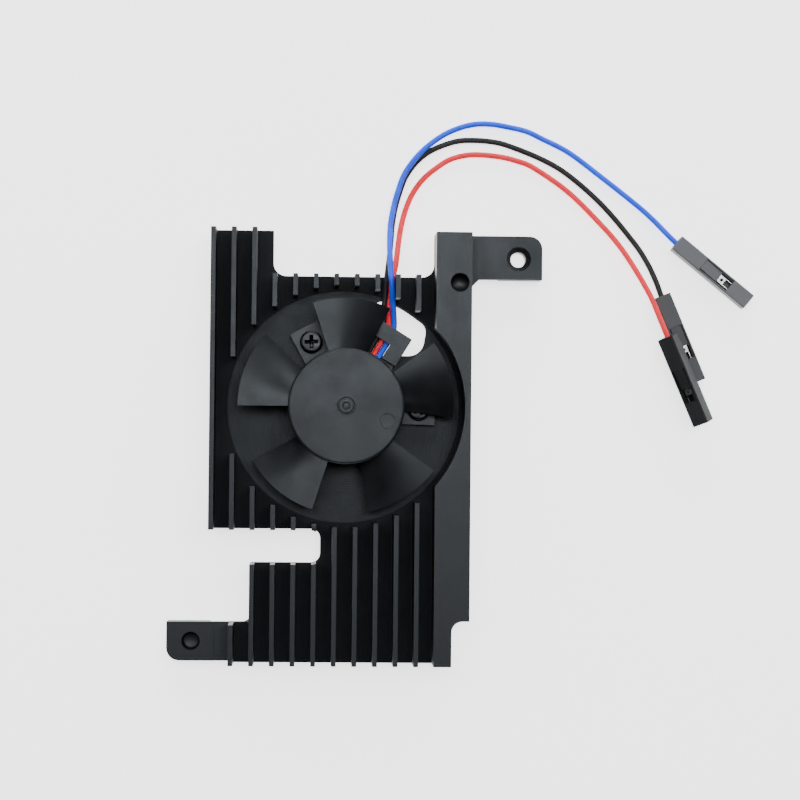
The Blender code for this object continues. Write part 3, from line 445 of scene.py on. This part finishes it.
def silicone_pad():
    """Soft grey-blue thermal pad with a dull, grainy skin."""
    s = Shader("silicone_pad", (0.27, 0.34, 0.43), 0.8, Sheen_Weight=0.3, Subsurface_Weight=0.1)
    s.inputs["Subsurface Radius"].default_value = (0.001, 0.001, 0.0012)
    s.vary_colour(s.noise(900, 4.0), (0.36, 0.43, 0.5))
    s.grain(3200, 0.03, 4.0)
    s.vary_roughness(s.noise(2200), 0.1)
    return s.material


def varnished_copper():
    """Enamelled winding wire."""
    s = Shader("varnished_copper", (0.62, 0.2, 0.07), 0.28, 1.0, Coat_Weight=0.8, Coat_Roughness=0.2)
    s.vary_colour(s.noise(1200), (0.75, 0.3, 0.11))
    s.vary_roughness(s.noise(3000), 0.07)
    return s.material


def natural_nylon():
    """Uncoloured nylon, slightly translucent."""
    s = Shader("natural_nylon", (0.72, 0.7, 0.64), 0.45, Subsurface_Weight=0.2)
    s.inputs["Subsurface Radius"].default_value = (0.0006, 0.0005, 0.0004)
    s.vary_colour(s.noise(900), (0.8, 0.78, 0.73))
    s.grain(4000, 0.006)
    return s.material


def ferrite():
    """Dark sintered magnet."""
    s = Shader("sintered_ferrite", (0.035, 0.035, 0.04), 0.62, 0.3)
    s.vary_colour(s.noise(2500, 5.0), (0.06, 0.058, 0.06))
    s.grain(6000, 0.012, 5.0)
    s.vary_roughness(s.noise(1800), 0.1)
    return s.material


# ---------------------------------------------------------------- shapes

def polar(radius, degrees):
    angle = math.radians(degrees)
    return Vector((radius * math.cos(angle), radius * math.sin(angle)))


def on_arm(along, across):
    """A point of the cable arm, from the fan's centre."""
    return polar(along, ARM_ANGLE) + polar(across, ARM_ANGLE - 90)


def piece(name, data, material, body, replaces=(), location=None, turn=None):
    """A visible piece that rides on a body, and stands for the CAD nodes it names."""
    obj = bpy.data.objects.new(name, data)
    bpy.context.scene.collection.objects.link(obj)
    if location is not None:
        obj.location = Vector(location) * MM
    if turn is not None:
        obj.rotation_euler = turn.to_euler()
    data.materials.clear()
    data.materials.append(material)
    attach(obj, body)
    if replaces:
        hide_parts(*replaces)
    return obj


def mesh_from(name, bm, sharp_degrees=40):
    """A smooth-shaded mesh in metres from a bmesh drawn in millimetres."""
    bmesh.ops.scale(bm, vec=(MM, MM, MM), verts=bm.verts)
    bmesh.ops.recalc_face_normals(bm, faces=bm.faces)
    mesh = bpy.data.meshes.new(name)
    bm.to_mesh(mesh)
    bm.free()
    mesh.shade_smooth()
    mesh.set_sharp_from_angle(angle=math.radians(sharp_degrees))
    return mesh


def flatten(obj):
    """Keeps large faces flat-looking and lets only the narrow bevels between them curve the light."""
    weighted = obj.modifiers.new("flat_faces", "WEIGHTED_NORMAL")
    weighted.mode = "FACE_AREA"
    weighted.weight = 100
    weighted.keep_sharp = True


def bevelled_copy(node, name, material, body, width, flat=False):
    """Stands for a CAD node with the same shape and softly broken edges."""
    bm = bmesh.new()
    bm.from_mesh(NODES[node].data)
    bmesh.ops.remove_doubles(bm, verts=bm.verts, dist=2e-6)
    bmesh.ops.dissolve_limit(bm, angle_limit=math.radians(0.6), verts=bm.verts, edges=bm.edges)
    mesh = bpy.data.meshes.new(name)
    bm.to_mesh(mesh)
    bm.free()
    if flat:
        mesh.shade_flat()
    else:
        mesh.shade_smooth()
    obj = piece(name, mesh, material, body, (node,))
    bevel = obj.modifiers.new("broken_edges", "BEVEL")
    bevel.width = width * MM
    bevel.segments = 2
    bevel.limit_method = "ANGLE"
    bevel.angle_limit = math.radians(30)
    bevel.use_clamp_overlap = True
    bevel.miter_outer = "MITER_ARC"
    if not flat:
        flatten(obj)


def tube_curve(name, route, radius, roundness):
    """A round tube, closed at both ends, along a route."""
    curve = bpy.data.curves.new(name, "CURVE")
    curve.dimensions = "3D"
    curve.bevel_depth = radius * MM
    curve.bevel_resolution = roundness
    curve.use_fill_caps = True
    spline = curve.splines.new("POLY")
    spline.points.add(len(route) - 1)
    for spline_point, position in zip(spline.points, route):
        spline_point.co = (*(position * MM), 1)
    spline.use_smooth = True
    return curve


def smooth_route(points, spacing):
    """Evenly spaced points on the Catmull-Rom curve through the given ones, both ends included."""
    route = [Vector(point) for point in points]
    route = [2 * route[0] - route[1], *route, 2 * route[-1] - route[-2]]
    fine = []
    fine_steps = 12
    for before, start, end, after in zip(route, route[1:], route[2:], route[3:]):
        for step in range(fine_steps):
            t = step / fine_steps
            fine.append(0.5 * (2 * start + (end - before) * t
                               + (2 * before - 5 * start + 4 * end - after) * t ** 2
                               + (3 * start - before - 3 * end + after) * t ** 3))
    fine.append(route[-2])
    lengths = [0.0]
    for start, end in zip(fine, fine[1:]):
        lengths.append(lengths[-1] + (end - start).length)
    count = round(lengths[-1] / spacing)
    even = [fine[0]]
    index = 0
    for number in range(1, count):
        wanted = lengths[-1] * number / count
        while lengths[index + 1] < wanted:
            index += 1
        share = (wanted - lengths[index]) / (lengths[index + 1] - lengths[index])
        even.append(fine[index].lerp(fine[index + 1], share))
    return [*even, fine[-1]]


def make_wires(materials):
    for name, points in WIRE_ROUTES.items():
        lane = WIRE_LANES[name]
        leaving = [(*(FAN_CENTRE.xy + on_arm(along, lane)), height) for along, height in LANE_STEPS]
        route = smooth_route((*leaving, *points), WIRE_SPACING)
        curve = tube_curve(f"{name}_sleeve", route, WIRE_RADIUS, 6)
        slot = name.replace("wire_", "") + "_insulation"
        sleeve = piece(f"{name}_sleeve", curve, materials[slot], "frame", (name,))


def make_connectors(materials):
    """Three housings; the one that lies flat gets a paler copy of the black, as painted light."""
    for name in CONNECTORS:
        slot = "grey_plastic" if "grey" in name else "connector_black"
        plastic = materials["connector_black_painted_light" if "flat" in name else slot]
        bevelled_copy(name, f"{name}_shell", plastic, "frame", 0.08, flat=True)


def add_ring_strip(bm, first, second, closed=True):
    """Joins two rows of equally many vertices with faces."""
    count = len(first)
    for step in range(count if closed else count - 1):
        after = (step + 1) % count
        bm.faces.new((first[step], first[after], second[after], second[step]))


def add_turned(bm, profile, steps, centre=(0, 0)):
    """Turns a loop of (radius, height) points about a vertical axis; those on the axis are poles."""
    rings = []
    for radius, height in profile:
        if radius == 0:
            rings.append([bm.verts.new((centre[0], centre[1], height))] * steps)
            continue
        angles = [2 * math.pi * step / steps for step in range(steps)]
        ring = []
        for angle in angles:
            x, y = centre[0] + radius * math.cos(angle), centre[1] + radius * math.sin(angle)
            ring.append(bm.verts.new((x, y, height)))
        rings.append(ring)
    for first, second in zip(rings, rings[1:] + rings[:1]):
        for step in range(steps):
            after = (step + 1) % steps
            face = list(dict.fromkeys((first[step], first[after], second[after], second[step])))
            if len(face) > 2:
                bm.faces.new(face)
    return bm


def rounded_profile(corners, steps=4):
    """The (radius, height) loop through (r, z, fillet) corners, with each fillet an arc."""
    points = []
    for index, (r, z, fillet) in enumerate(corners):
        here = Vector((r, z))
        if fillet == 0:
            points.append((r, z))
            continue
        back = (Vector(corners[index - 1][:2]) - here).normalized()
        ahead = (Vector(corners[(index + 1) % len(corners)][:2]) - here).normalized()
        half_angle = back.angle(ahead) / 2
        centre = here + (back + ahead).normalized() * fillet / math.sin(half_angle)
        start = here + back * fillet / math.tan(half_angle) - centre
        end = here + ahead * fillet / math.tan(half_angle) - centre
        start_angle = math.atan2(start.y, start.x)
        turn = math.remainder(math.atan2(end.y, end.x) - start_angle, 2 * math.pi)
        for step in range(steps + 1):
            angle = start_angle + turn * step / steps
            points.append((centre.x + fillet * math.cos(angle), centre.y + fillet * math.sin(angle)))
    return points


def boolean_result(name, base, others, operation):
    """The mesh left by cutting others from a base mesh, or joining them to it."""
    scene = bpy.context.scene.collection
    target = bpy.data.objects.new(name, base)
    scene.objects.link(target)
    helpers = []
    for index, other in enumerate(others):
        helper = bpy.data.objects.new(f"{name}_{index}", other)
        scene.objects.link(helper)
        helpers.append(helper)
        modifier = target.modifiers.new("boolean", "BOOLEAN")
        modifier.object = helper
        modifier.operation = operation
        modifier.solver = "EXACT"
    bpy.context.view_layer.update()
    result = bpy.data.meshes.new_from_object(target.evaluated_get(bpy.context.evaluated_depsgraph_get()))
    for obj in (target, *helpers):
        bpy.data.objects.remove(obj)
    result.shade_smooth()
    result.set_sharp_from_angle(angle=math.radians(40))
    return result


def add_bevel(obj, width, segments, limit):
    bevel = obj.modifiers.new("broken_edges", "BEVEL")
    bevel.width = width * MM
    bevel.segments = segments
    bevel.limit_method = "ANGLE"
    bevel.angle_limit = math.radians(limit)
    flatten(obj)


def blade_mesh(high_edge):
    """One pitched, cambered blade that rises from its low edge to its thin, high edge."""
    bm = bmesh.new()
    chord_steps, radial_steps = 22, 12
    root_radius = HUB_RADIUS - BLADE_ROOT_DEPTH
    sheets = []
    for drop in (0, 1):
        rows = []
        for chord in range(chord_steps + 1):
            share = chord / chord_steps
            rise = share + BLADE_CAMBER * math.sin(math.pi * share)
            thickness = BLADE_THICKNESS * (1 - BLADE_TAPER * share)
            row = []
            for radial in range(radial_steps + 1):
                out = radial / radial_steps
                radius = root_radius + (BLADE_RADIUS - root_radius) * out
                span = BLADE_SPAN - BLADE_ROOT_SWEEP * (1 - out)
                height = BLADE_LOW + (BLADE_HIGH - BLADE_LOW) * rise - drop * thickness
                row.append(bm.verts.new((*polar(radius, high_edge - span * (1 - share)), height)))
            rows.append(row)
        sheets.append(rows)
    top, bottom = sheets
    for rows in sheets:
        for row, following in zip(rows, rows[1:]):
            for radial in range(radial_steps):
                bm.faces.new((row[radial], row[radial + 1], following[radial + 1], following[radial]))
    for end in (0, -1):
        add_ring_strip(bm, top[end], bottom[end], closed=False)
    for radial in (0, -1):
        add_ring_strip(bm, [row[radial] for row in top], [row[radial] for row in bottom], closed=False)
    return mesh_from("blade", bm)


def make_impeller(material):
    """Hub cup with a softly rounded rim, a raised centre ring and a gate mark, and five blades."""
    inner = HUB_RADIUS - HUB_WALL
    raised, sunk = HUB_TOP + 0.1, HUB_TOP - 0.1
    profile = rounded_profile((
        (0, raised, 0), (0.38, raised, 0.03), (0.44, HUB_TOP, 0.02), (0.54, HUB_TOP, 0.02),
        (0.6, raised, 0.03), (1.04, raised, 0.05), (1.1, sunk, 0.03), (1.28, sunk, 0.03),
        (1.36, HUB_TOP, 0.04),
        (HUB_RADIUS, HUB_TOP, 0.38), (HUB_RADIUS, HUB_BOTTOM, 0.08), (inner, HUB_BOTTOM, 0.08),
        (inner, HUB_ROOF_UNDERSIDE, 0.3), (BOSS_RADIUS, HUB_ROOF_UNDERSIDE, 0),
        (BOSS_RADIUS, BOSS_BOTTOM, 0.06), (SHAFT_HOLE_RADIUS, BOSS_BOTTOM, 0),
        (SHAFT_HOLE_RADIUS, SHAFT_HOLE_TOP, 0), (0, SHAFT_HOLE_TOP, 0),
    ))
    hub = mesh_from("hub", add_turned(bmesh.new(), profile, 180))
    groove_bottom, groove_above = HUB_TOP - 0.2, HUB_TOP + 1
    groove = rounded_profile((
        (1.02, groove_bottom, 0), (1.2, groove_bottom, 0), (1.3, groove_above, 0), (0.92, groove_above, 0),
    ))
    gate_mark = polar(GATE_MARK_RADIUS, GATE_MARK_ANGLE)
    gate = mesh_from("gate", add_turned(bmesh.new(), groove, 64, gate_mark))
    hub = boolean_result("hub_cup", hub, [gate], "DIFFERENCE")
    blades = [blade_mesh(FIRST_BLADE_EDGE + 360 / BLADE_COUNT * number) for number in range(BLADE_COUNT)]
    mesh = boolean_result("impeller_moulding", hub, blades, "UNION")
    impeller = piece("impeller_moulding", mesh, material, "rotor", ("impeller",),
                     FAN_CENTRE)
    add_bevel(impeller, 0.07, 2, 38)


def cross_cutter(top, bottom):
    """A driver cross that narrows as it goes down, with a pointed middle."""
    bm = bmesh.new()
    rings = []
    for height, arm, half in ((top, 1.08, 0.31), (bottom, 0.7, 0.18)):
        outline = ((arm, -half), (arm, half), (half, half), (half, arm), (-half, arm), (-half, half),
                   (-arm, half), (-arm, -half), (-half, -half), (-half, -arm), (half, -arm), (half, -half))
        rings.append([bm.verts.new((x, y, height)) for x, y in outline])
    add_ring_strip(bm, rings[0], rings[1])
    bm.faces.new(rings[0])
    tip = bm.verts.new((0, 0, bottom - 0.25))
    for vertex, following in zip(rings[1], rings[1][1:] + rings[1][:1]):
        bm.faces.new((vertex, following, tip))
    return mesh_from("cross", bm, 20)


def screw_profile():
    """Half the outline of a pan-head screw, with its thread as ridges."""
    loop = [(0, SCREW_TIP, 0), (0.55, SCREW_TIP, 0), (0.68, SCREW_TIP + SCREW_TIP_TAPER, 0)]
    height = SCREW_TIP + SCREW_TIP_TAPER
    while height < SCREW_SEAT - 0.4:
        loop += [(SCREW_CREST, height + 0.1, 0), (SCREW_ROOT, height + 0.22, 0)]
        height += SCREW_PITCH
    loop += [
        (SCREW_CREST, SCREW_SEAT - 0.1, 0), (SCREW_CREST, SCREW_SEAT, 0),
        (SCREW_HEAD_RADIUS, SCREW_SEAT, 0.08), (SCREW_HEAD_RADIUS, SCREW_TOP, 0.42), (0, SCREW_TOP, 0),
    ]
    return rounded_profile(loop, 6)


def make_screws(material):
    """Blackened pan-head screws with a cross recess and a threaded shank."""
    for number, (degrees, cross_turn) in enumerate(SCREW_TURNS, 1):
        head = mesh_from("screw_head", add_turned(bmesh.new(), screw_profile(), 64), 55)
        cross = cross_cutter(SCREW_TOP + 0.1, SCREW_TOP - CROSS_DEPTH)
        mesh = boolean_result("cross_head", head, [cross], "DIFFERENCE")
        mesh.transform(turned((cross_turn, "Z")))
        place = (*(FAN_CENTRE.xy + polar(LUG_RADIUS, degrees)), 0)
        name = f"fan_screw_{number}"
        screw = piece(f"{name}_crosshead", mesh, material, "frame", (name,), place)
        add_bevel(screw, 0.03, 1, 40)


def add_tube(bm, stations):
    """A square-section sleeve through (along, half outside, half inside) stations, open at both ends."""
    loops = []
    for along, outside, inside in stations:
        for half in (outside, inside):
            corners = ((-half, -half), (half, -half), (half, half), (-half, half))
            loops.append([bm.verts.new((along, y, z)) for y, z in corners])
    for index in range(0, len(loops) - 2, 2):
        add_ring_strip(bm, loops[index], loops[index + 2])
        add_ring_strip(bm, loops[index + 3], loops[index + 1])
    add_ring_strip(bm, loops[0], loops[1])
    add_ring_strip(bm, loops[-2], loops[-1])


def box_mesh(name, low, high):
    bm = bmesh.new()
    bmesh.ops.create_cube(bm, size=1)
    middle, size = (Vector(low) + Vector(high)) / 2, Vector(high) - Vector(low)
    for vertex in bm.verts:
        vertex.co = Vector(a * b for a, b in zip(vertex.co, size)) + middle
    return mesh_from(name, bm)


def contact_mesh():
    """A folded crimp contact: a barrel closed round the wire, a neck and a slotted socket box."""
    bm = bmesh.new()
    add_tube(bm, CONTACT_STATIONS)
    cuts = [box_mesh(name, low, high) for name, low, high in CONTACT_CUTS]
    return boolean_result("contact", mesh_from("sleeve", bm), cuts, "DIFFERENCE")


def make_contacts(material):
    for name, (rear, heading, pitch, roll) in CONNECTORS.items():
        node = name.replace("connector", "contact")
        turn = turned((heading, "Z"), (pitch, "Y"), (roll, "X"))
        contact = piece(f"{node}_crimp", contact_mesh(), material, "frame", (node,), rear,
                        turn)
        add_bevel(contact, 0.035, 2, 35)


def coil_route():
    """Turns of wire that go out along a pole in the first layer and back in the second."""
    route = []
    steps = COIL_TURNS * COIL_TURN_STEPS
    for layer, (half_width, half_height) in enumerate(COIL_LAYERS):
        for step in range(steps):
            angle = 2 * math.pi * step / COIL_TURN_STEPS
            across, up = math.cos(angle), math.sin(angle)
            share = step / steps
            along = COIL_START + COIL_LENGTH * (share if layer == 0 else 1 - share)
            squared = (abs(across) ** COIL_SQUARENESS + abs(up) ** COIL_SQUARENESS) ** (-1 / COIL_SQUARENESS)
            height = COIL_HEIGHT + half_height * squared * up
            route.append(Vector((along, half_width * squared * across, height)))
    return route


def make_coils(material):
    """Each stator coil as two layers of real turns of enamelled wire round its pole."""
    for pole in range(COIL_POLES):
        turn = turned((FIRST_COIL_ANGLE + 360 / COIL_POLES * pole, "Z"))
        name = f"stator_coil_{pole + 1}"
        curve = tube_curve("coil", coil_route(), COIL_WIRE_RADIUS, 2)
        piece(f"{name}_turns", curve, material, "frame", (name,), FAN_CENTRE, turn)


def make_thread(material):
    """The helical ridge inside the tapped hole of the solid bar."""
    bm = bmesh.new()
    section = ((THREAD_OUTER, -THREAD_HALF_WIDTH), (THREAD_INNER, 0.0), (THREAD_OUTER, THREAD_HALF_WIDTH))
    rows = []
    for step in range(THREAD_TURN_STEPS * THREAD_TURNS + 1):
        angle = 2 * math.pi * step / THREAD_TURN_STEPS
        height = THREAD_LOW + THREAD_PITCH * step / THREAD_TURN_STEPS
        rows.append([bm.verts.new((radius * math.cos(angle), radius * math.sin(angle), height + rise))
                     for radius, rise in section])
    for row, following in zip(rows, rows[1:]):
        add_ring_strip(bm, row, following)
    bm.faces.new(rows[0])
    bm.faces.new(rows[-1])
    piece("bar_hole_thread", mesh_from("thread", bm, 25), material, "frame", (),
          BAR_HOLE_CENTRE)


def make_solder(material):
    """Three solder joints where the wires meet the fan's circuit board."""
    for number, lane in enumerate(WIRE_LANES.values(), 1):
        mesh = mesh_from("solder", add_turned(bmesh.new(), rounded_profile(SOLDER_DOME), 24))
        place = (*(FAN_CENTRE.xy + on_arm(SOLDER_ALONG, lane)), 0)
        piece(f"solder_joint_{number}", mesh, material, "frame", (), place)


# ---------------------------------------------------------------- assembly

def make_materials():
    """Every material by its slot, and a paler copy of the connector black that paints light on one
    connector.
    """
    return {
        "blue_insulation": insulation("blue_sleeve", (0.018, 0.08, 0.85), (0.026, 0.1, 0.92)),
        "black_insulation": insulation("black_sleeve", (0.017, 0.0178, 0.0185), (0.022, 0.0228, 0.0235)),
        "red_insulation": insulation("red_sleeve", (0.82, 0.032, 0.045), (0.88, 0.042, 0.056)),
        # Black plastic, made darker still as painted shade on the leaning connector's face.
        "connector_black": moulded("connector_black", (0.011, 0.0113, 0.0123), (0.014, 0.0143, 0.0153), 0.5,
                                   gloss=0.18),
        # A paler copy of the black plastic, as painted light on the connector that lies flat.
        "connector_black_painted_light": moulded("connector_black_painted_light", (0.043, 0.0435, 0.0465),
                                        (0.05, 0.0505, 0.0535), 0.5),
        "grey_plastic": moulded("connector_grey", (0.095, 0.096, 0.103), (0.106, 0.107, 0.114), 0.5),
        "black_anodised": anodised(),
        "black_plastic": moulded("black_plastic", (0.0036, 0.0040, 0.0048), (0.0046, 0.0051, 0.0060), 0.42),
        "chip_resin": moulded("chip_resin", (0.012, 0.012, 0.013), (0.02, 0.02, 0.021), 0.6, 0.012),
        "black_steel": metal("blackened_steel", (0.022, 0.022, 0.025), (0.036, 0.036, 0.04), 0.36,
                             grain_mm=0.0015),
        "bright_steel": metal("bright_steel", (0.66, 0.66, 0.68), (0.56, 0.56, 0.58), 0.3, (1, 1, 12)),
        "bronze": metal("sintered_bronze", (0.55, 0.36, 0.16), (0.45, 0.28, 0.11), 0.45, grain_mm=0.008),
        "tinned_metal": metal("tinned_contact", (0.33, 0.33, 0.325), (0.2, 0.2, 0.2), 0.34, grain_mm=0.001),
        "copper": varnished_copper(),
        "green_laminate": laminate(),
        "ferrite": ferrite(),
        "thermal_pad": silicone_pad(),
        "white_nylon": natural_nylon(),
    }


def main():
    make_camera()
    make_world()
    make_floor()
    for panel in SOFTBOXES:
        make_panel(*panel)
    materials = make_materials()
    for entry in frame["record"]["subparts"]:
        data = NODES[entry["node"]].data
        data.materials.clear()
        data.materials.append(materials[entry["material_slot"]])
    make_connectors(materials)
    make_contacts(materials["tinned_metal"])
    make_wires(materials)
    anodised_black, moulded_black = materials["black_anodised"], materials["black_plastic"]
    bevelled_copy("heatsink", "heatsink_body", anodised_black, "frame", 0.09)
    bevelled_copy("fan_base", "fan_base_moulding", moulded_black, "frame", 0.05)
    make_impeller(moulded_black)
    make_screws(materials["black_steel"])
    make_coils(materials["copper"])
    make_thread(anodised_black)
    make_solder(materials["tinned_metal"])


main()
